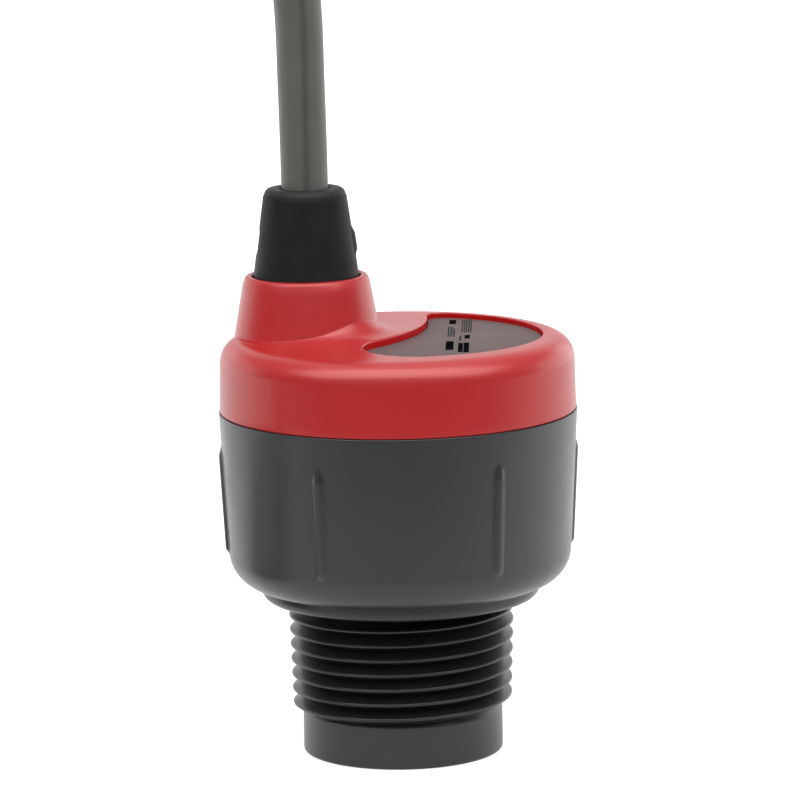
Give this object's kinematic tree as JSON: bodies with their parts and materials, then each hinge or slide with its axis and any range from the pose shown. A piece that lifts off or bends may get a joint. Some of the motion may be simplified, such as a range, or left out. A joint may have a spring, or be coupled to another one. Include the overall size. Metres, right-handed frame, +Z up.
{
  "type": "ultrasonic level sensor",
  "caption": "Ultrasonic level sensor: ribbed round body with a tapered pipe thread and sensing nose, red cap with an offset cable boss, strain relief and tied cable.",
  "frame": {"origin": "centre of the sensing face, on the surface that the sensor stands on", "axes": "+Z up along the thread axis towards the cap; -Y towards the viewer of the picture; the cable hank lies towards -X"},
  "size_m": [0.2071, 0.0641, 0.1594],
  "materials": {
    "housing_grey": "fine moulded satin",
    "cap_red": "satin moulded",
    "label_grey": "printed film",
    "boot_black": "moulded matt",
    "seal_black": "matt",
    "cable_grey": "extruded jacket",
    "tie_black": "moulded",
    "lead_red": "extruded insulation",
    "lead_black": "extruded insulation",
    "lead_white": "extruded insulation",
    "lead_green": "extruded insulation",
    "tinned_copper": "tinned strands",
    "crimp_metal": "plain",
    "ceramic": "fired",
    "matching_resin": "filled resin",
    "cork": "pressed",
    "damping_rubber": "filled",
    "potting": "cast",
    "board_green": "solder mask",
    "steel": "plain",
    "brass": "plain",
    "component_black": "moulded",
    "ferrite": "sintered",
    "winding_copper": "enamelled wire",
    "terminal_green": "moulded",
    "wire_red": "insulation"
  },
  "bodies": {
    "root": {"sensor_housing": "housing_grey", "top_cap": "cap_red", "cap_seal": "seal_black", "label_plate": "label_grey", "strain_relief": "boot_black", "cable_crimp": "crimp_metal", "matching_layer": "matching_resin", "piezo_disc": "ceramic", "isolation_sleeve": "cork", "damping_pad": "damping_rubber", "potting_plug": "potting", "piezo_leads": "wire_red", "main_board": "board_green", "board_screws": "steel", "board_spacers": "brass", "upper_board": "board_green", "board_header": "component_black", "transformer_core": "ferrite", "transformer_winding": "winding_copper", "reservoir_capacitor": "component_black", "microcontroller": "component_black", "timing_crystal": "steel", "chip_parts": "component_black", "cable_terminal": "terminal_green", "inner_leads": "wire_red", "cable_run": "cable_grey", "cable_hank": "cable_grey", "hank_tie": "tie_black", "lead_red": "lead_red", "lead_black": "lead_black", "lead_white": "lead_white", "lead_green": "lead_green", "lead_tips": "tinned_copper"}
  },
  "joints": []
}
